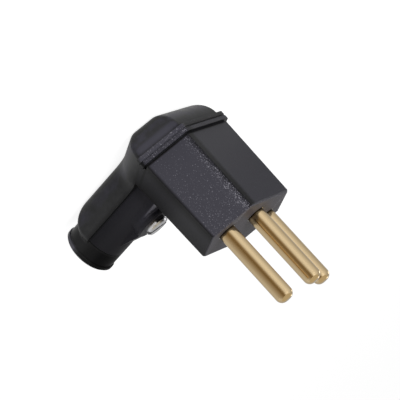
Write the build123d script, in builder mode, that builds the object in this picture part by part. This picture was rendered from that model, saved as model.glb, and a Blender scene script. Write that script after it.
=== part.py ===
"""Right-angle three-pin mains plug that is wired by hand.

A hexagonal front body carries three round brass pins, and a hooded rear cover
closes it and runs on as a cord arm at a right angle to the pins. One screw from
the front draws the two shells together over the arm.

Millimetres. +Z runs along the pins, X along the hexagon's long axis, and the
cord arm points towards -Y. The origin is on the plug's axis at the flat back.
"""

import math
import os

from build123d import *

# Pins
pin_diameter = 4.0
pin_length = 19.0
pin_spacing = 19.0
earth_offset = 3.0
pin_tip_round = 1.5
pin_seat_diameter = 4.4
pin_collar_diameter = 6.2
pin_collar_thickness = 1.5
barrel_diameter = 5.6
barrel_flats = 4.6
barrel_length = 9.0
wire_hole_diameter = 2.4
wire_hole_setback = 4.0
tapped_hole_depth = 6.5

# Terminal screws
terminal_thread = 3.0
terminal_shank = 3.2
terminal_head_diameter = 5.0
terminal_head_height = 1.8
terminal_slot_width = 0.8
terminal_slot_depth = 0.8

# Hexagonal block, measured where it meets the cover
block_flats = 16.9
block_points = 33.2
block_flat_length = 18.8
body_height = 21.6
block_draft = 0.8
long_edge_radius = 1.0
front_edge_chamfer = 0.35
wall = 2.0
pin_plate = 5.0
partition_thickness = 1.2
partition_depth = 9.0

# Rim that stands out round the block's far half
rim_overhang = 0.65
rim_half_thickness = 1.05
rim_end = 1.2
rim_corner_radius = 1.0
rim_seam_chamfer = 0.2
rim_groove_depth = 0.35
rim_groove_width = 0.4

# Rear cover
back_depth = 7.2
cap_inset = 0.2
cap_upright = 1.4
cap_corner_radius = 1.6

# Cord arm
saddle_margin = 1.3
saddle_wall = 1.8
saddle_end = 28.2
saddle_root_radius = 6.0
arm_diameter = 11.6
arm_wall = 1.5
cord_room = 0.3
arm_end = 27.6
saddle_end_wall = 2.8
nozzle_end = 32.5
nozzle_blend_margin = 0.4
mouth_chamfer = 0.4
bead_height = 0.25
bead_width = 1.2
bead_chamfer = 0.15
grip_rib_thickness = 1.0
grip_rib_height = 0.8
grip_rib_pitch = 2.5
grip_rib_count = 2
grip_setback = 4.5

# Closing screw and its boss
screw_place = 16.0
screw_thread = 3.0
screw_head_diameter = 5.6
screw_head_height = 1.2
screw_head_chamfer = 0.4
screw_slot_width = 0.9
screw_slot_depth = 0.7
screw_slot_angle = 35.0
screw_length = 11.0
screw_tip_room = 0.4
boss_diameter = 9.2
boss_rise = 1.1
boss_edge_chamfer = 0.4
shoulder_height = 5.4
ramp_width = 5.5
ramp_end = 25.7
ramp_end_height = 4.8
post_diameter = 5.2
post_reach = 3.3
post_root_depth = 0.5

# Snap tongues on the cover
tongue_spacing = 12.0
tongue_width = 3.0
tongue_thickness = 1.2
tongue_height = 5.0
barb_depth = 0.5
barb_height = 1.2
barb_setback = 0.4

# Clearances
fit_clearance = 0.1
thread_clearance = 0.05
screw_clearance = 0.2
seam_gap = 0.15
hold_gap = 0.3
catch_gap = 0.2

# Heights above the flat back
split_height = back_depth
front_height = split_height + body_height
plate_height = front_height - pin_plate
collar_seat_height = plate_height + pin_collar_thickness
barrel_end_height = plate_height - barrel_length
terminal_head_end = barrel_end_height - terminal_head_height
boss_height = arm_diameter / 2 + boss_rise
boss_top_height = split_height + boss_height
post_top_height = split_height + post_reach
screw_tip_height = boss_top_height - screw_length
post_root_height = wall - post_root_depth
back_radius = back_depth - cap_upright
tongue_root_height = back_radius / 2
tongue_top_height = split_height + tongue_height
barb_top_height = tongue_top_height - barb_setback
pin_tip_height = front_height + pin_length
ramp_top_height = boss_top_height - boss_edge_chamfer / 2

# Sizes that follow the arm
saddle_width = arm_diameter + 2 * saddle_margin
nozzle_blend_radius = back_depth - arm_diameter / 2 - nozzle_blend_margin

# Shared places
half_flats = block_flats / 2
half_points = block_points / 2
half_flat_length = block_flat_length / 2
inner_wall_y = half_flats - wall
tongue_outer_y = inner_wall_y - fit_clearance
tongue_inner_y = tongue_outer_y - tongue_thickness
trough_radius = arm_diameter / 2 - arm_wall
cord_radius = trough_radius - cord_room
saddle_channel_radius = saddle_width / 2 - saddle_wall
nozzle_start = saddle_end - back_radius
nozzle_root = saddle_end - saddle_end_wall
nozzle_ring = arm_end + seam_gap
ramp_start = screw_place + boss_diameter / 2 - boss_edge_chamfer
pin_tip_ease = pin_tip_round * (1 - math.sqrt(0.5))
pin_places = {
    "line": (-pin_spacing / 2, 0),
    "neutral": (pin_spacing / 2, 0),
    "earth": (0, earth_offset),
}
partition_place = (pin_spacing / 2) / 2
tongue_places = (-tongue_spacing / 2, tongue_spacing / 2)
grip_places = [arm_end - grip_setback + grip_rib_pitch * (i - 0.5) for i in range(grip_rib_count)]
split_plane = Plane.XY.offset(split_height)
arm_plane = Plane(origin=(0, 0, split_height), x_dir=(1, 0, 0), z_dir=(0, -1, 0))


def mirrored(points):
    """The same points on the other side of the plug's middle, in the order that closes them."""
    return [(-x, y) for x, y in reversed(points)]


def hexagon_reach(outset):
    """Where the hexagon's points and corners lie when every side is moved out."""
    run = half_points - half_flat_length
    side = math.hypot(run, half_flats)
    point_x = half_points + outset * side / half_flats
    corner_x = half_flat_length + outset * (side - run) / half_flats
    return point_x, corner_x, half_flats + outset


def hexagon(outset):
    """Corners of the block's outline at the split plane, every side moved out."""
    point_x, corner_x, corner_y = hexagon_reach(outset)
    right = [(corner_x, -corner_y), (point_x, 0), (corner_x, corner_y)]
    return right + mirrored(right)


def rim_corners():
    """Corners of the rim's outline, which ends just past the block's two points."""
    point_x, corner_x, corner_y = hexagon_reach(rim_overhang)
    end_x = point_x - rim_end * (point_x - corner_x) / corner_y
    right = [(end_x, -rim_end), (point_x, 0), (corner_x, corner_y)]
    return right + mirrored(right)


def hood_corners():
    """Corners of the cover's outline: its slanted sides run on until they meet the arm."""
    point_x, corner_x, corner_y = hexagon_reach(-cap_inset)
    side_x = saddle_width / 2
    root_y = -corner_y * (point_x - side_x) / (point_x - corner_x)
    right = [(side_x, -saddle_end), (side_x, root_y), (point_x, 0), (corner_x, corner_y)]
    return right + mirrored(right)


# Rim: half of the band that the two shells share, as it stands on the front body
with BuildPart() as rim:
    with BuildSketch(split_plane) as rim_outline:
        with BuildLine():
            Polyline(*rim_corners(), close=True)
        make_face()
        fillet(rim_outline.vertices().group_by(Axis.Y)[-1], rim_corner_radius)
        fillet(rim_outline.vertices().sort_by(Axis.X)[0], rim_corner_radius)
        fillet(rim_outline.vertices().sort_by(Axis.X)[-1], rim_corner_radius)
    extrude(amount=rim_half_thickness)
    chamfer(rim.faces().sort_by(Axis.Z)[0].edges(), rim_seam_chamfer)


# Hood hollow: the space that is cut from the cover, rounded to keep its wall even
with BuildPart() as hood_hollow:
    with BuildSketch(Plane.XY.offset(wall)):
        with BuildLine():
            Polyline(*hexagon(-wall), close=True)
        make_face()
    extrude(amount=back_depth - wall)
    fillet(hood_hollow.faces().sort_by(Axis.Z)[0].edges(), back_radius - wall)


# Front body: block, near half of the rim, lower half of the cord arm and screw boss
with BuildPart() as front_body:
    with BuildSketch(split_plane):
        with BuildLine():
            Polyline(*hexagon(0), close=True)
        make_face()
    extrude(amount=body_height, taper=block_draft)
    fillet(front_body.edges().group_by(Axis.Z)[1], long_edge_radius)
    chamfer(front_body.faces().sort_by(Axis.Z)[-1].edges(), front_edge_chamfer)

    with BuildSketch(arm_plane):
        Circle(arm_diameter / 2)
        Rectangle(arm_diameter, arm_diameter, align=(Align.CENTER, Align.MIN), mode=Mode.INTERSECT)
    extrude(amount=arm_end)

    # Screw boss: its shoulder along the arm, the round boss and the ramp behind it
    with BuildSketch(split_plane):
        Rectangle(boss_diameter, screw_place, align=(Align.CENTER, Align.MAX))
    extrude(amount=shoulder_height)
    with BuildSketch(split_plane):
        with Locations((0, -screw_place)):
            Circle(boss_diameter / 2)
    extrude(amount=boss_height)
    boss_top = front_body.faces(Select.LAST).filter_by(Axis.Z).sort_by(Axis.Z)[-1]
    chamfer(boss_top.edges(), boss_edge_chamfer)
    with BuildSketch(Plane.YZ):
        with BuildLine():
            Polyline(
                (-screw_place, split_height),
                (-ramp_end, split_height),
                (-ramp_end, split_height + ramp_end_height),
                (-ramp_start, ramp_top_height),
                (-screw_place, ramp_top_height),
                close=True,
            )
        make_face()
    extrude(amount=ramp_width / 2, both=True)

    # Rim, and the groove that sets it off from the block
    add(rim.part)
    with BuildSketch(Plane.XY.offset(split_height + rim_half_thickness)):
        with BuildLine():
            Polyline(*rim_corners(), close=True)
        make_face()
        with BuildLine():
            Polyline(*hexagon(-rim_groove_depth), close=True)
        make_face(mode=Mode.SUBTRACT)
    extrude(amount=rim_groove_width, mode=Mode.SUBTRACT)

    # Wiring space behind the pin plate, with a wall between each two terminals
    with BuildSketch(split_plane):
        with BuildLine():
            Polyline(*hexagon(-wall), close=True)
        make_face()
    extrude(amount=body_height - pin_plate, mode=Mode.SUBTRACT)
    with BuildSketch(Plane.XY.offset(plate_height)):
        with Locations((-partition_place, 0), (partition_place, 0)):
            Rectangle(partition_thickness, block_flats - wall)
    extrude(amount=-partition_depth)

    # Cord trough and its grip ribs
    with BuildSketch(arm_plane):
        Circle(trough_radius)
    extrude(amount=arm_end, mode=Mode.SUBTRACT)
    for place in grip_places:
        with BuildSketch(arm_plane.offset(place - grip_rib_thickness / 2)):
            Circle(trough_radius + arm_wall / 2)
            Circle(cord_radius - grip_rib_height, mode=Mode.SUBTRACT)
            Rectangle(arm_diameter, arm_diameter, align=(Align.CENTER, Align.MIN), mode=Mode.INTERSECT)
        extrude(amount=grip_rib_thickness)

    # Pin holes, with a seat for each collar on the inside of the plate
    with BuildSketch(Plane.XY.offset(plate_height)):
        with Locations(*pin_places.values()):
            Circle(pin_seat_diameter / 2 + fit_clearance)
    extrude(amount=pin_plate, mode=Mode.SUBTRACT)
    with BuildSketch(Plane.XY.offset(plate_height)):
        with Locations(*pin_places.values()):
            Circle(pin_collar_diameter / 2 + fit_clearance)
    extrude(amount=pin_collar_thickness, mode=Mode.SUBTRACT)

    # Screw hole, with a flat seat for the cover's post
    with BuildSketch(split_plane):
        with Locations((0, -screw_place)):
            Circle(post_diameter / 2 + fit_clearance)
    extrude(amount=post_reach, mode=Mode.SUBTRACT)
    with BuildSketch(split_plane):
        with Locations((0, -screw_place)):
            Circle(screw_thread / 2 + screw_clearance)
    extrude(amount=boss_height, mode=Mode.SUBTRACT)

    # Recesses that take the barbs of the cover's tongues
    with BuildSketch(Plane.XY.offset(barb_top_height + catch_gap)):
        with Locations(*[(x, inner_wall_y) for x in tongue_places]):
            Rectangle(
                tongue_width + 2 * catch_gap,
                barb_depth + catch_gap,
                align=(Align.CENTER, Align.MIN),
            )
    extrude(amount=-(barb_height + 2 * catch_gap), mode=Mode.SUBTRACT)


# Rear cover: hood, far half of the rim, upper half of the arm and the whole nozzle
with BuildPart() as rear_cover:
    with BuildSketch() as hood_outline:
        with BuildLine():
            Polyline(*hood_corners(), close=True)
        make_face()
        fillet(hood_outline.vertices().group_by(Axis.Y)[1], saddle_root_radius)
    extrude(amount=back_depth)
    fillet(rear_cover.faces().sort_by(Axis.Z)[0].edges(), back_radius)
    uprights = rear_cover.edges().filter_by(Axis.Z).group_by(Axis.Y)
    fillet(uprights[0] + uprights[-1] + uprights[-2], cap_corner_radius)

    with BuildSketch(arm_plane.offset(nozzle_start)):
        Circle(arm_diameter / 2)
        Rectangle(arm_diameter, arm_diameter, align=(Align.CENTER, Align.MAX), mode=Mode.INTERSECT)
    extrude(amount=nozzle_end - bead_width - nozzle_start)
    nozzle_back = rear_cover.faces(Select.LAST).filter_by(GeomType.CYLINDER).sort_by(Axis.Y)[0]
    nozzle_curves = nozzle_back.edges().filter_by(GeomType.LINE, reverse=True)
    fillet(nozzle_curves.sort_by(Axis.Y)[1:], nozzle_blend_radius)
    mirror(rim.part, about=split_plane)

    # Hollow of the hood, the arm's channel and the nozzle's bore
    add(hood_hollow.part, mode=Mode.SUBTRACT)
    with BuildSketch(arm_plane):
        Circle(saddle_channel_radius)
    extrude(amount=nozzle_root, mode=Mode.SUBTRACT)
    with BuildSketch(arm_plane):
        Circle(cord_radius)
    extrude(amount=nozzle_end, mode=Mode.SUBTRACT)
    with BuildSketch(Plane.YZ) as nozzle_profile:
        with BuildLine():
            Polyline(
                (-nozzle_ring, split_height + cord_radius),
                (-nozzle_ring, split_height + arm_diameter / 2),
                (bead_width - nozzle_end, split_height + arm_diameter / 2),
                (bead_width - nozzle_end, split_height + arm_diameter / 2 + bead_height),
                (-nozzle_end, split_height + arm_diameter / 2 + bead_height),
                (-nozzle_end, split_height + cord_radius),
                close=True,
            )
        make_face()
        chamfer(nozzle_profile.vertices().group_by(Axis.X)[0], mouth_chamfer)
        chamfer(nozzle_profile.vertices().group_by(Axis.Y)[-1].sort_by(Axis.X)[-1], bead_chamfer)
    revolve(axis=Axis((0, 0, split_height), (0, 1, 0)))
    for place in grip_places:
        with BuildSketch(arm_plane.offset(place - grip_rib_thickness / 2)):
            Circle(saddle_channel_radius + saddle_wall / 2)
            Circle(cord_radius - grip_rib_height, mode=Mode.SUBTRACT)
            Rectangle(saddle_width, saddle_width, align=(Align.CENTER, Align.MAX), mode=Mode.INTERSECT)
        extrude(amount=grip_rib_thickness)

    # Screw post, and a post under each terminal that keeps its pin from backing out
    with BuildSketch(Plane.XY.offset(post_root_height)):
        with Locations((0, -screw_place)):
            Circle(post_diameter / 2)
    extrude(amount=post_top_height - post_root_height)
    with BuildSketch(Plane.XY.offset(screw_tip_height - screw_tip_room)):
        with Locations((0, -screw_place)):
            Circle(screw_thread / 2 + thread_clearance)
    extrude(amount=post_top_height - screw_tip_height + screw_tip_room, mode=Mode.SUBTRACT)
    with BuildSketch(Plane.XY.offset(post_root_height)):
        with Locations(*pin_places.values()):
            Circle(terminal_head_diameter / 2)
    extrude(amount=terminal_head_end - hold_gap - post_root_height)

    # Snap tongues along the far wall
    for place in tongue_places:
        with BuildSketch(Plane.YZ.offset(place)):
            with BuildLine():
                Polyline(
                    (tongue_inner_y, tongue_root_height),
                    (tongue_inner_y, tongue_top_height),
                    (tongue_outer_y, tongue_top_height),
                    (tongue_outer_y + barb_depth, barb_top_height - barb_height / 2),
                    (tongue_outer_y + barb_depth, barb_top_height - barb_height),
                    (tongue_outer_y, barb_top_height - barb_height),
                    (tongue_outer_y, tongue_root_height),
                    close=True,
                )
            make_face()
        extrude(amount=tongue_width / 2, both=True)


# Pins: turned brass, with a collar behind the plate and a drilled terminal barrel with two flats
pins = {}
for name, (x, y) in pin_places.items():
    pin_plane = Plane(origin=(x, y, 0), x_dir=(1, 0, 0), z_dir=(0, -1, 0))
    with BuildPart() as pin:
        with BuildSketch(pin_plane):
            with BuildLine():
                Polyline(
                    (0, barrel_end_height),
                    (barrel_diameter / 2, barrel_end_height),
                    (barrel_diameter / 2, plate_height),
                    (pin_collar_diameter / 2, plate_height),
                    (pin_collar_diameter / 2, collar_seat_height),
                    (pin_seat_diameter / 2, collar_seat_height),
                    (pin_seat_diameter / 2, front_height),
                    (pin_diameter / 2, front_height),
                    (pin_diameter / 2, pin_tip_height - pin_tip_round),
                    (pin_diameter / 2 - pin_tip_ease, pin_tip_height - pin_tip_ease),
                    (pin_diameter / 2 - pin_tip_round, pin_tip_height),
                    (0, pin_tip_height),
                    close=True,
                )
            make_face()
        revolve(axis=Axis((x, y, 0), (0, 0, 1)))
        with BuildSketch(Plane.XY.offset(barrel_end_height)):
            with Locations((x, y)):
                Circle(barrel_diameter / 2)
                Rectangle(barrel_diameter, barrel_flats, mode=Mode.SUBTRACT)
        extrude(amount=barrel_length, mode=Mode.SUBTRACT)
        with BuildSketch(Plane.XY.offset(barrel_end_height)):
            with Locations((x, y)):
                Circle(terminal_thread / 2 + thread_clearance)
        extrude(amount=tapped_hole_depth, mode=Mode.SUBTRACT)
        with BuildSketch(pin_plane):
            with Locations((0, barrel_end_height + wire_hole_setback)):
                Circle(wire_hole_diameter / 2)
        extrude(amount=barrel_diameter, both=True, mode=Mode.SUBTRACT)
    pins[name] = pin.part


# Terminal screws: slotted cheese heads, driven into the barrels from behind
terminal_screws = {}
for name, (x, y) in pin_places.items():
    with BuildPart() as terminal_screw:
        with BuildSketch(Plane.XY.offset(barrel_end_height)):
            with Locations((x, y)):
                Circle(terminal_head_diameter / 2)
        extrude(amount=-terminal_head_height)
        with BuildSketch(Plane.XY.offset(barrel_end_height)):
            with Locations((x, y)):
                Circle(terminal_thread / 2)
        extrude(amount=terminal_shank)
        with BuildSketch(Plane.XY.offset(terminal_head_end)):
            with Locations((x, y)):
                Rectangle(2 * terminal_head_diameter, terminal_slot_width)
        extrude(amount=terminal_slot_depth, mode=Mode.SUBTRACT)
    terminal_screws[name] = terminal_screw.part


# Closing screw: slotted pan head on the boss, thread in the cover's post
with BuildPart() as closing_screw:
    with BuildSketch(Plane.XY.offset(boss_top_height)):
        with Locations((0, -screw_place)):
            Circle(screw_head_diameter / 2)
    extrude(amount=screw_head_height)
    chamfer(closing_screw.faces().sort_by(Axis.Z)[-1].edges(), screw_head_chamfer)
    with BuildSketch(Plane.XY.offset(boss_top_height)):
        with Locations((0, -screw_place)):
            Circle(screw_thread / 2)
    extrude(amount=-screw_length)
    with BuildSketch(Plane.XY.offset(boss_top_height + screw_head_height)):
        with Locations((0, -screw_place)):
            Rectangle(2 * screw_head_diameter, screw_slot_width, rotation=screw_slot_angle)
    extrude(amount=-screw_slot_depth, mode=Mode.SUBTRACT)


pieces = {
    "front_body": front_body.part,
    "rear_cover": rear_cover.part,
    "closing_screw": closing_screw.part,
}
for name in pin_places:
    pieces[f"{name}_pin"] = pins[name]
    pieces[f"{name}_terminal_screw"] = terminal_screws[name]

os.makedirs("parts", exist_ok=True)
for name, piece in pieces.items():
    piece.label = name
    export_step(piece, f"parts/{name}.step")
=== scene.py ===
"""Looks of the right-angle three-pin plug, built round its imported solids."""

import math

import bmesh
import bpy
from mathutils import Matrix, Vector


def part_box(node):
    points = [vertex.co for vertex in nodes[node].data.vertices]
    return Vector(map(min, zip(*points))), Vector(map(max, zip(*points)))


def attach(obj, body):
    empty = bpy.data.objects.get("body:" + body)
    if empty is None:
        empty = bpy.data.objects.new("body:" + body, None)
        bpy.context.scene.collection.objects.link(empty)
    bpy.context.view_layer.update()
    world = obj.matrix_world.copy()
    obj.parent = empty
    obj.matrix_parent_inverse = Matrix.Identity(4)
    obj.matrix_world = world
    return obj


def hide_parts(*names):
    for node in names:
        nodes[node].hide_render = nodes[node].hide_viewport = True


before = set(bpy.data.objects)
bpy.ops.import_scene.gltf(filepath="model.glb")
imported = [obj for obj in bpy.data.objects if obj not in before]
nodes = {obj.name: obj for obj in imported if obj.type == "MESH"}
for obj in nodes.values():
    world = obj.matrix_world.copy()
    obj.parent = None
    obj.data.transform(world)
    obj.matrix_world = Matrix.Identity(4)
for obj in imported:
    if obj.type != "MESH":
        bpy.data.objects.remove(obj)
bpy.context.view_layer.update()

mm_per_metre = 1000

# Heights in millimetres from the plug's flat back towards its pins
front_face = 28.8
rim_joint = 7.2
rim_back = 6.15

# Places in millimetres across the plug, then along it with the cord arm on the negative side
long_edge = 9.4
arm_root = -9.0
saddle_end = -28.2
nozzle_end = -32.5

# Spans in millimetres that the ramps of haze and gloss cover
across_span = {"From_Max": 20.0}
along_span = {"From_Min": -36.0, "From_Max": 12.0}
forward_span = {"From_Max": 30.0}
ridge_span = {"From_Min": 10.0, "From_Max": 15.0}
cover_span = {"From_Max": 10.0}

# Grit of the plastic, real size under 0.1 mm and too fine to show, so drawn 0.22 to 0.24 mm wide
speck_noise = {"Scale": 4.2, "Detail": 1.0, "Roughness": 0.5}
grain_noise = {"Scale": 4.5, "Detail": 3.0, "Roughness": 0.7}
grain_depth = 0.00008

# Flow of the melt, about 3 mm wide, clouds in the zinc, about 0.7 mm, and tool rings, 0.1 mm apart
flow_noise = {"Scale": 0.35, "Detail": 3.0, "Roughness": 0.6}
flow_depth = 0.0002
cloud_noise = {"Scale": 1.5, "Detail": 3.0, "Roughness": 0.6}
ring_wave = {"Scale": 3.0, "Distortion": 0.6, "Detail": 1.0}

# What a Math node does with its numbers
times = {"operation": "MULTIPLY"}
plus = {"operation": "ADD"}
larger = {"operation": "MAXIMUM"}
unsigned = {"operation": "ABSOLUTE"}


def linear(code):
    """An sRGB hex colour as the linear RGBA that a socket takes."""
    values = [int(code[i : i + 2], 16) / 255 for i in (1, 3, 5)]
    return [v / 12.92 if v <= 0.04045 else ((v + 0.055) / 1.055) ** 2.4 for v in values] + [1.0]


def amounts(places, From_Min=0.0, From_Max=1.0):
    """Ramp stops from (place, amount) pairs, for a ramp that covers this span of places."""
    return [((place - From_Min) / (From_Max - From_Min), [amount] * 3 + [1.0]) for place, amount in places]


def fill(tree, node, links, **values):
    """Socket values and links of a node."""
    for name, value in values.items():
        node.inputs[name.replace("_", " ")].default_value = value
    for name, source in links.items():
        tree.links.new(source, node.inputs[name])


def add(tree, kind, links=None, settings=None, stops=None, out=0, **values):
    """One shader node: its settings, ramp stops, socket values and links. Gives one of its outputs."""
    node = tree.nodes.new(kind)
    for name, value in (settings or {}).items():
        setattr(node, name, value)
    fill(tree, node, links or {}, **values)
    if stops:
        elements = node.color_ramp.elements
        while len(elements) < len(stops):
            elements.new(0.5)
        for element, (position, colour) in zip(elements, stops):
            element.position = position
            element.color = colour
    return node.outputs[out] if node.outputs else None


def blank(name):
    """A new node material: its tree, its shader and the shaded point in millimetres."""
    material = bpy.data.materials.new(name)
    material.use_nodes = True
    tree = material.node_tree
    place = add(tree, "ShaderNodeTexCoord", out="Object")
    scaled = add(tree, "ShaderNodeMapping", {"Vector": place}, Scale=[mm_per_metre] * 3)
    return material, tree, tree.nodes["Principled BSDF"], scaled


def bare(name):
    """A new node material with nothing in its tree."""
    material = bpy.data.materials.new(name)
    material.use_nodes = True
    material.node_tree.nodes.clear()
    return material, material.node_tree


def as_object(name, shape, material):
    """Puts a finished mesh into the scene."""
    mesh = bpy.data.meshes.new(name)
    shape.to_mesh(mesh)
    shape.free()
    mesh.materials.append(material)
    piece = bpy.data.objects.new(name, mesh)
    bpy.context.scene.collection.objects.link(piece)
    return piece


# The textured plastic from plain moulded, over fully hazed by its grain with painted sheen, to a painted
# glint
full_haze_and_painted_light = 0.5
plain_to_painted_light_colours = [(0.0, linear("#1c1c1d")), (full_haze_and_painted_light, linear("#44434c")), (1.0, linear("#b0aeb8"))]

# Moulded ABS, spark-eroded: black, with a grain that hazes the flats, and with painted sheen, painted shade
# and painted glints laid on its colour by place
textured, tree, shader, place = blank("moulded ABS, spark-eroded")
x, y, z = (add(tree, "ShaderNodeSeparateXYZ", {"Vector": place}, out=axis) for axis in "XYZ")
specks = add(tree, "ShaderNodeTexNoise", {"Vector": place}, **speck_noise)
# The grain frays the edges of the haze and its painted light by this many millimetres to either side
fray = 0.3
speck_span = {"From_Min": 0.3, "From_Max": 0.7}
ragged = add(tree, "ShaderNodeMapRange", {"Value": specks}, To_Min=-fray, To_Max=fray, **speck_span)
across = add(tree, "ShaderNodeMath", {0: x}, unsigned)
across = add(tree, "ShaderNodeMath", {0: across, 1: ragged}, plus)
across = add(tree, "ShaderNodeMapRange", {"Value": across}, **across_span)
along = add(tree, "ShaderNodeMapRange", {"Value": y}, **along_span)
forward = add(tree, "ShaderNodeMapRange", {"Value": z}, **forward_span)
by_arm = add(tree, "ShaderNodeMapRange", {"Value": y}, From_Min=arm_root + 0.2, From_Max=arm_root - 0.2)
far_half = add(tree, "ShaderNodeMapRange", {"Value": y}, From_Max=0.3)
front = add(tree, "ShaderNodeMapRange", {"Value": z}, From_Min=front_face - 0.2, From_Max=front_face - 0.1)

# Haze and painted light from the middle outwards: half on the wide flats, none on the long edge, which gives
# a painted dark band of shade there, full on the slanted sides
flat_haze_and_painted_light = 0.45
outwards = [(6.6, flat_haze_and_painted_light), (7.5, 0.1), (7.9, 0.0), (9.2, 0.0), (9.66, 0.6), (10.06, 0.95)]
haze_and_painted_light_across = add(tree, "ShaderNodeValToRGB", {"Fac": across}, stops=amounts(outwards, **across_span))
# The long edge towards +X keeps the haze and painted light of the flats
right_edge = add(tree, "ShaderNodeMapRange", {"Value": x}, From_Max=0.5, To_Max=flat_haze_and_painted_light)
haze_and_painted_light_across = add(tree, "ShaderNodeMath", {0: haze_and_painted_light_across, 1: right_edge}, larger)

# Haze and painted light from the nozzle to the far side: more along the arm, little on the block by the arm
# as painted shade in that corner, full beyond
from_nozzle = [(-28.8, 0.35), (-21.6, 0.6), (-12.96, 1.15), (-9.192, 1.15), (-8.688, 0.0)]
from_nozzle += [(-3.0, 0.25), (-1.392, 0.1), (-0.888, 0.0), (0.096, 0.0), (0.528, 1.0)]
haze_and_painted_light_along = add(tree, "ShaderNodeValToRGB", {"Fac": along}, stops=amounts(from_nozzle, **along_span))
haze_and_painted_light = add(tree, "ShaderNodeMath", {0: haze_and_painted_light_across, 1: haze_and_painted_light_along}, times)

# Haze and painted light towards the pins: the rim a little less, none in the groove under it as painted
# shade, most by the front
towards_pins = [(8.16, 0.85), (8.28, 0.0), (8.7, 0.0), (8.94, 0.98), (27.9, 1.3)]
haze_and_painted_light_forward = add(tree, "ShaderNodeValToRGB", {"Fac": forward}, stops=amounts(towards_pins, **forward_span))
haze_and_painted_light_forward = add(tree, "ShaderNodeMath", {0: haze_and_painted_light_forward, 1: by_arm}, larger)
haze_and_painted_light = add(tree, "ShaderNodeMath", {0: haze_and_painted_light, 1: haze_and_painted_light_forward}, times)
# The face that carries the pins is hazed all over, with painted light
haze_and_painted_light = add(tree, "ShaderNodeMix", {"Factor": front, "A": haze_and_painted_light}, B=1.0)

# Painted glints on the half away from the arm: most beside the long edges, some on the rim and by the front
beside_edge = [(8.0, 0.02), (8.96, 0.12), (9.5, 0.19), (10.3, 0.17), (11.1, 0.07)]
painted_glints = add(tree, "ShaderNodeValToRGB", {"Fac": across}, stops=amounts(beside_edge, **across_span))
painted_glints = add(tree, "ShaderNodeMath", {0: painted_glints, 1: far_half}, times)
rim_and_front = [(8.1, 0.13), (8.7, 0.0), (27.9, 0.05)]
more = add(tree, "ShaderNodeValToRGB", {"Fac": forward}, stops=amounts(rim_and_front, **forward_span))
painted_glints = add(tree, "ShaderNodeMath", {0: painted_glints, 1: more}, plus)
painted_glints = add(tree, "ShaderNodeMath", {0: specks, 1: painted_glints}, plus)
painted_glints = add(tree, "ShaderNodeMapRange", {"Value": painted_glints}, From_Min=0.74, From_Max=0.95, To_Max=0.4)
painted_glints = add(tree, "ShaderNodeMath", {0: painted_glints, 1: far_half}, times)
# Colour from the haze with its painted light and shade, plus the painted glints
tone = add(tree, "ShaderNodeMapRange", {"Value": haze_and_painted_light}, To_Max=full_haze_and_painted_light)
tone = add(tree, "ShaderNodeMath", {0: tone, 1: painted_glints}, plus)
# The face that carries the pins, painted a touch lighter
lighter = add(tree, "ShaderNodeMapRange", {"Value": front}, To_Max=0.03)
tone = add(tree, "ShaderNodeMath", {0: tone, 1: lighter}, plus)

# The shoulder's rounded ridge beside the screw, with a painted highlight next to the block
height = add(tree, "ShaderNodeMapRange", {"Value": z}, **ridge_span)
on_ridge = [(11.9, 0.0), (12.35, 0.6), (12.9, 0.6), (13.3, 0.0)]
ridge_highlight = add(tree, "ShaderNodeValToRGB", {"Fac": height}, stops=amounts(on_ridge, **ridge_span))
beside = add(tree, "ShaderNodeMapRange", {"Value": y}, From_Min=-17.5, From_Max=-11.0)
ridge_highlight = add(tree, "ShaderNodeMath", {0: ridge_highlight, 1: beside}, times)
ridge_highlight = add(tree, "ShaderNodeMath", {0: ridge_highlight, 1: by_arm}, times)
tone = add(tree, "ShaderNodeMath", {0: tone, 1: ridge_highlight}, plus)

grain = add(tree, "ShaderNodeTexNoise", {"Vector": place}, **grain_noise)
depth = add(tree, "ShaderNodeMapRange", {"Value": haze_and_painted_light}, To_Min=0.03, To_Max=0.4)
fill(
    tree,
    shader,
    {
        "Base Color": add(tree, "ShaderNodeValToRGB", {"Fac": tone}, stops=plain_to_painted_light_colours),
        "Roughness": add(tree, "ShaderNodeMapRange", {"Value": haze_and_painted_light}, To_Min=0.36, To_Max=0.48),
        "Specular IOR Level": add(tree, "ShaderNodeMapRange", {"Value": haze_and_painted_light}, To_Min=0.05, To_Max=0.14),
        "Normal": add(tree, "ShaderNodeBump", {"Height": grain, "Strength": depth}, Distance=grain_depth),
    },
)

# The smooth plastic from a black for painted shade, over plain and lighter with painted light, to a painted
# glint
plain = 0.05
satin_colours = [
    (0.0, linear("#0e0e0f")),
    (plain, linear("#1c1c1d")),
    (0.3, linear("#3c3c3d")),
    (full_haze_and_painted_light, linear("#4c4b54")),
    (1.0, linear("#b0aeb8")),
]

# Moulded ABS, satin: smooth black from a polished tool, with painted light and shade by the rim and on its
# round back
satin, tree, shader, place = blank("moulded ABS, satin")
x, y, z = (add(tree, "ShaderNodeSeparateXYZ", {"Vector": place}, out=axis) for axis in "XYZ")
across = add(tree, "ShaderNodeMath", {0: x}, unsigned)
along = add(tree, "ShaderNodeMapRange", {"Value": y}, **along_span)
height = add(tree, "ShaderNodeMapRange", {"Value": z}, **cover_span)
far_half = add(tree, "ShaderNodeMapRange", {"Value": y}, From_Min=-0.8, From_Max=0.2)
flow = add(tree, "ShaderNodeTexNoise", {"Vector": place}, **flow_noise)

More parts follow.
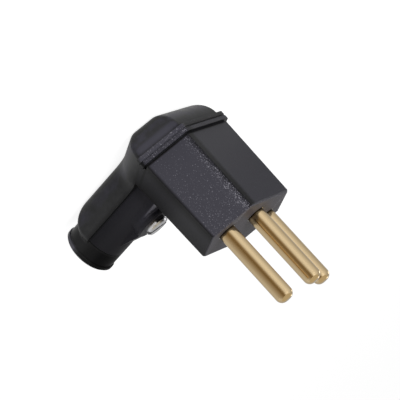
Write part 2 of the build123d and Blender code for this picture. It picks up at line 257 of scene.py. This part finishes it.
# Painted light on the upright sides away from the arm, with a painted dark line of shade above the rim
side_span = {"From_Min": long_edge - 1.4, "From_Max": long_edge + 0.2}
side = add(tree, "ShaderNodeMapRange", {"Value": across}, To_Min=0.1, To_Max=1.1, **side_span)
from_back = [(2.75, 0.0), (4.7, 1.0), (5.85, 1.0), (6.0, 0.1), (6.14, 0.1), (6.25, 0.9)]
upright = add(tree, "ShaderNodeValToRGB", {"Fac": height}, stops=amounts(from_back, **cover_span))
haze_and_painted_light = add(tree, "ShaderNodeMath", {0: side, 1: upright}, times)
haze_and_painted_light = add(tree, "ShaderNodeMath", {0: haze_and_painted_light, 1: far_half}, times)

# A cloudy painted highlight along the round edges of hood and saddle, which ends at the nozzle
before_nozzle = [(-28.8, 0.1), (-27.36, 1.3)]
arm = add(tree, "ShaderNodeValToRGB", {"Fac": along}, stops=amounts(before_nozzle, **along_span))
round_edge = [(1.0, 0.2), (2.0, 1.2), (3.2, 1.2), (4.8, 0.75), (6.2, 0.65), (7.0, 0.1)]
painted_streak = add(tree, "ShaderNodeValToRGB", {"Fac": height}, stops=amounts(round_edge, **cover_span))
painted_streak = add(tree, "ShaderNodeMath", {0: arm, 1: painted_streak}, times)
painted_streak = add(tree, "ShaderNodeMath", {0: painted_streak, 1: flow}, times)

# The nozzle's lip, with a painted highlight on the half towards the back
lip_highlight = add(tree, "ShaderNodeMapRange", {"Value": y}, From_Min=nozzle_end + 1.5, From_Max=nozzle_end + 1.0)
lip_back = add(tree, "ShaderNodeMapRange", {"Value": z}, From_Min=rim_joint, From_Max=rim_joint - 1.6)
lip_highlight = add(tree, "ShaderNodeMath", {0: lip_highlight, 1: lip_back}, times)
painted_streak = add(tree, "ShaderNodeMath", {0: painted_streak, 1: lip_highlight}, larger)
haze_and_painted_light = add(tree, "ShaderNodeMath", {0: haze_and_painted_light, 1: painted_streak}, larger)

# Gloss: least on the back's round edges, on the sides by the arm and on the far flat
gloss = add(tree, "ShaderNodeMapRange", {"Value": z}, From_Min=0.8, From_Max=6.5, To_Min=0.04, To_Max=0.15)
by_side = [(-10.08, 1.0), (-7.2, 0.4), (-0.72, 0.4), (0.48, 1.0), (6.24, 1.0), (8.16, 0.25)]
gloss_along = add(tree, "ShaderNodeValToRGB", {"Fac": along}, stops=amounts(by_side, **along_span))
gloss = add(tree, "ShaderNodeMath", {0: gloss, 1: gloss_along}, times)

# Painted glints on the rim, on the half away from the arm
specks = add(tree, "ShaderNodeTexNoise", {"Vector": place}, **speck_noise)
painted_glints = add(tree, "ShaderNodeMapRange", {"Value": specks}, From_Min=0.63, From_Max=0.85, To_Max=0.8)
rim = add(tree, "ShaderNodeMapRange", {"Value": z}, From_Min=rim_back - 0.01, From_Max=rim_back + 0.05)
rim = add(tree, "ShaderNodeMath", {0: rim, 1: far_half}, times)
painted_glints = add(tree, "ShaderNodeMath", {0: painted_glints, 1: rim}, times)
tone = add(tree, "ShaderNodeMapRange", {"Value": haze_and_painted_light}, To_Min=plain, To_Max=full_haze_and_painted_light)
tone = add(tree, "ShaderNodeMath", {0: tone, 1: painted_glints}, plus)
# The lip's painted highlight, a touch lighter still
lighter = add(tree, "ShaderNodeMapRange", {"Value": lip_highlight}, To_Max=0.1)
tone = add(tree, "ShaderNodeMath", {0: tone, 1: lighter}, plus)

# The nozzle's half towards the pins, blacker with painted shade and duller than the rest
nozzle = add(tree, "ShaderNodeMapRange", {"Value": y}, From_Min=saddle_end + 1.0, From_Max=saddle_end)
pin_side = add(tree, "ShaderNodeMapRange", {"Value": z}, From_Min=rim_joint + 0.2, From_Max=rim_joint + 3.8)
painted_shade_and_dull = add(tree, "ShaderNodeMath", {0: nozzle, 1: pin_side}, times)
painted_shade_and_dull = add(tree, "ShaderNodeMapRange", {"Value": painted_shade_and_dull}, To_Min=1.0, To_Max=0.22)
tone = add(tree, "ShaderNodeMath", {0: tone, 1: painted_shade_and_dull}, times)
gloss = add(tree, "ShaderNodeMath", {0: gloss, 1: painted_shade_and_dull}, times)

sheen = amounts([(0.3, 0.32), (0.7, 0.42)])
fill(
    tree,
    shader,
    {
        "Base Color": add(tree, "ShaderNodeValToRGB", {"Fac": tone}, stops=satin_colours),
        "Roughness": add(tree, "ShaderNodeValToRGB", {"Fac": flow}, stops=sheen),
        "Normal": add(tree, "ShaderNodeBump", {"Height": flow}, Strength=0.05, Distance=flow_depth),
        "Specular IOR Level": gloss,
    },
)

# Turned brass, polished: warm pale gold mirror with faint tool rings round the pin, with painted shade at
# its base
brass, tree, shader, place = blank("turned brass, polished")
rings = add(tree, "ShaderNodeTexWave", {"Vector": place}, {"bands_direction": "Z"}, **ring_wave)
z = add(tree, "ShaderNodeSeparateXYZ", {"Vector": place}, out="Z")
above_base_shade = add(tree, "ShaderNodeMapRange", {"Value": z}, From_Min=front_face + 0.1, From_Max=front_face + 0.7)
tone = add(tree, "ShaderNodeMapRange", {"Value": rings}, To_Min=0.5, To_Max=1.0)
tone = add(tree, "ShaderNodeMath", {0: tone, 1: above_base_shade}, times)
brass_colours = [(0.0, linear("#4a3d25")), (0.5, linear("#d6bd92")), (1.0, linear("#dec69e"))]
sheen = amounts([(0.0, 0.1), (1.0, 0.15)])
fill(
    tree,
    shader,
    {
        "Base Color": add(tree, "ShaderNodeValToRGB", {"Fac": tone}, stops=brass_colours),
        "Roughness": add(tree, "ShaderNodeValToRGB", {"Fac": rings}, stops=sheen),
    },
    Metallic=1.0,
)

# Zinc-plated steel: bright cool grey, slightly cloudy
zinc, tree, shader, place = blank("zinc-plated steel")
cloud = add(tree, "ShaderNodeTexNoise", {"Vector": place}, **cloud_noise)
zinc_colours = [(0.3, linear("#b8b8ba")), (0.7, linear("#dcdcde"))]
sheen = amounts([(0.3, 0.18), (0.7, 0.28)])
fill(
    tree,
    shader,
    {
        "Base Color": add(tree, "ShaderNodeValToRGB", {"Fac": cloud}, stops=zinc_colours),
        "Roughness": add(tree, "ShaderNodeValToRGB", {"Fac": cloud}, stops=sheen),
    },
    Metallic=1.0,
)

finishes = {"front_body": textured, "rear_cover": satin, "closing_screw": zinc}
for name in ("line", "neutral", "earth"):
    finishes[f"{name}_pin"] = brass
    finishes[f"{name}_terminal_screw"] = zinc
for name, material in finishes.items():
    nodes[name].data.materials.clear()
    nodes[name].data.materials.append(material)

# Steps of a full round, and the angle from which an edge counts as sharp
round_steps = 96
sharp_angle = math.radians(30)
merge_distance = 1e-6


def lathe(name, profile, centre, material):
    """A turned piece from (radius, height) points in millimetres, on an upright axis through centre."""
    shape = bmesh.new()
    points = []
    for radius, height in profile:
        points.append(shape.verts.new((centre.x + radius / mm_per_metre, centre.y, height / mm_per_metre)))
    lines = [shape.edges.new(pair) for pair in zip(points, points[1:])]
    bmesh.ops.spin(
        shape,
        geom=points + lines,
        cent=centre,
        axis=(0, 0, 1),
        angle=math.tau,
        steps=round_steps,
        use_merge=True,
    )
    bmesh.ops.remove_doubles(shape, verts=shape.verts, dist=merge_distance)
    bmesh.ops.recalc_face_normals(shape, faces=shape.faces)
    for face in shape.faces:
        face.smooth = True
    for edge in shape.edges:
        edge.smooth = edge.calc_face_angle(0.0) < sharp_angle
    return as_object(name, shape, material)


# Pins: sizes of the solids in millimetres, with the heights above the plug's flat back
pin_radius = 2.0
tip_round = 1.5
seat_radius = 2.2
collar_radius = 3.1
barrel_radius = 2.8
thread_radius = 1.55
barrel_end = 14.8
thread_end = 21.3
collar_back = 23.8
collar_front = 25.3
tip_end = 47.8
tip_steps = 12

# The turned outline from the tapped barrel over the collar and the seat to the finely rounded tip
pin_profile = [
    (0.0, thread_end),
    (thread_radius, thread_end),
    (thread_radius, barrel_end),
    (barrel_radius, barrel_end),
    (barrel_radius, collar_back),
    (collar_radius, collar_back),
    (collar_radius, collar_front),
    (seat_radius, collar_front),
    (seat_radius, front_face),
    (pin_radius, front_face),
]
for step in range(tip_steps + 1):
    angle = math.radians(90 * step / tip_steps)
    outward = pin_radius - tip_round + tip_round * math.cos(angle)
    pin_profile.append((outward, tip_end - tip_round + tip_round * math.sin(angle)))
pin_profile.append((0.0, tip_end))
for name in ("line_pin", "neutral_pin", "earth_pin"):
    low, high = (Vector(corner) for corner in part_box(name))
    pin = lathe(f"{name}_turned", pin_profile, (low + high) / 2, brass)
    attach(pin, "root")
    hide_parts(name)


# Studio: a pale floor and a white surround, with the object's shadow kept
def white_share(tree):
    """1 for the rays that show the background: camera, glossy and transmission rays."""
    path = tree.nodes.new("ShaderNodeLightPath")
    share = path.outputs["Is Camera Ray"]
    for name in ("Is Glossy Ray", "Is Transmission Ray"):
        share = add(tree, "ShaderNodeMath", {0: share, 1: path.outputs[name]}, larger)
    return share


def stage_piece(name, shape, material):
    """Puts a mesh for the studio into the scene, like any other mesh."""
    piece = as_object(name, shape, material)
    return piece


def reflected_piece(name, shape, material):
    """A piece of the studio that only reflections show."""
    piece = stage_piece(name, shape, material)
    piece.visible_camera = False
    piece.visible_diffuse = False
    piece.visible_shadow = False


# Sizes of the studio in metres, with an azimuth in degrees and a height for each lamp spot
floor_radius = 6.0
card_radius = 0.08
card_height = 0.12
card_gap = 0.001
spot_radius = 0.011
spot_places = ((12, 0.061), (354, 0.099))
spot_steps = 32
aim = Vector((0, 0, 0.015))

floor_paint, tree = bare("pale floor paint")
paint = add(tree, "ShaderNodeBsdfDiffuse", Color=linear("#bcbcbc"))
lift = add(tree, "ShaderNodeMapRange", {"Value": white_share(tree)}, To_Max=0.88)
glow = add(tree, "ShaderNodeEmission", {"Strength": lift})
both = add(tree, "ShaderNodeAddShader", {0: paint, 1: glow})
add(tree, "ShaderNodeOutputMaterial", {"Surface": both})
shape = bmesh.new()
bmesh.ops.create_circle(shape, cap_ends=True, segments=round_steps, radius=floor_radius)
stage_piece("floor", shape, floor_paint)

# Gradient card: a ring round the object, white towards the key soft box and brown by the camera
card_paint, tree = bare("gradient card")
place = add(tree, "ShaderNodeTexCoord", out="Object")
turn = add(tree, "ShaderNodeTexGradient", {"Vector": place}, {"gradient_type": "RADIAL"})
shades = [
    (0.00, linear("#9a8b74")),
    (0.17, linear("#d4d4d4")),
    (0.43, linear("#bcbcbc")),
    (0.60, linear("#bcbcbc")),
    (0.79, linear("#ffffff")),
    (0.85, linear("#ededed")),
    (0.91, linear("#96866a")),
    (0.955, linear("#7d6a4c")),
    (1.00, linear("#9a8b74")),
]
tone = add(tree, "ShaderNodeValToRGB", {"Fac": turn}, stops=shades)
glow = add(tree, "ShaderNodeEmission", {"Color": tone})
add(tree, "ShaderNodeOutputMaterial", {"Surface": glow})
shape = bmesh.new()
bmesh.ops.create_cone(
    shape,
    cap_ends=False,
    segments=round_steps,
    radius1=card_radius,
    radius2=card_radius,
    depth=card_height,
)
bmesh.ops.translate(shape, verts=shape.verts, vec=(0.0, 0.0, card_height / 2 + card_gap))
reflected_piece("gradient card", shape, card_paint)

# Ceiling card: the warm grey overhead that the pins' tips show
ceiling_paint, tree = bare("ceiling card")
glow = add(tree, "ShaderNodeEmission", Color=linear("#cdc4b0"))
add(tree, "ShaderNodeOutputMaterial", {"Surface": glow})
shape = bmesh.new()
bmesh.ops.create_circle(shape, cap_ends=True, segments=round_steps, radius=card_radius)
bmesh.ops.translate(shape, verts=shape.verts, vec=(0.0, 0.0, card_height + card_gap))
reflected_piece("ceiling card", shape, ceiling_paint)

# Lamp spots: two small bright discs behind the object that glint on the tips
spot_paint, tree = bare("lamp spots")
glow = add(tree, "ShaderNodeEmission", Strength=3.0)
add(tree, "ShaderNodeOutputMaterial", {"Surface": glow})
shape = bmesh.new()
for azimuth, height in spot_places:
    swing = Matrix.Rotation(math.radians(azimuth), 4, "Z")
    reach = Matrix.Translation((card_radius - card_gap, 0.0, height))
    upend = Matrix.Rotation(math.radians(90), 4, "Y")
    stand = swing @ reach @ upend
    bmesh.ops.create_circle(shape, cap_ends=True, segments=spot_steps, radius=spot_radius, matrix=stand)
reflected_piece("lamp spots", shape, spot_paint)

# Surround: white for the rays that show it, and dim as a light
world = bpy.data.worlds.new("studio")
bpy.context.scene.world = world
world.use_nodes = True
sky = world.node_tree
level = add(sky, "ShaderNodeMapRange", {"Value": white_share(sky)}, To_Min=0.2, To_Max=1.0)
fill(sky, sky.nodes["Background"], {"Strength": level}, Color=linear("#ffffff"))


def soft_box(name, azimuth, distance, height, size, power):
    """A square soft box standing round the object, aimed at its middle."""
    data = bpy.data.lights.new(name, "AREA")
    data.shape = "SQUARE"
    data.size = size
    data.energy = power
    lamp = bpy.data.objects.new(name, data)
    angle = math.radians(azimuth)
    lamp.location = (distance * math.cos(angle), distance * math.sin(angle), height)
    lamp.rotation_euler = (aim - lamp.location).to_track_quat("-Z", "Y").to_euler()
    bpy.context.scene.collection.objects.link(lamp)


# Soft boxes: azimuth in degrees, lengths in metres, power in watts
soft_box("key soft box", azimuth=122, distance=0.42, height=0.2, size=0.3, power=1.3)
soft_box("fill soft box", azimuth=243, distance=0.5, height=0.25, size=0.3, power=0.55)

# Camera at the photograph's place in metres, turned in degrees and rolled as the photograph is
camera_place = (-0.42982, 0.20754, 0.11226)
camera_turn = (-75.0886, -41.3572, 53.7824)
camera_data = bpy.data.cameras.new("camera")
camera_data.sensor_width = 36.0
camera_data.lens = 207.5
camera = bpy.data.objects.new("camera", camera_data)
camera.location = camera_place
camera.rotation_euler = [math.radians(degrees) for degrees in camera_turn]
bpy.context.scene.collection.objects.link(camera)
bpy.context.scene.camera = camera
bpy.context.scene.view_settings.view_transform = "Standard"
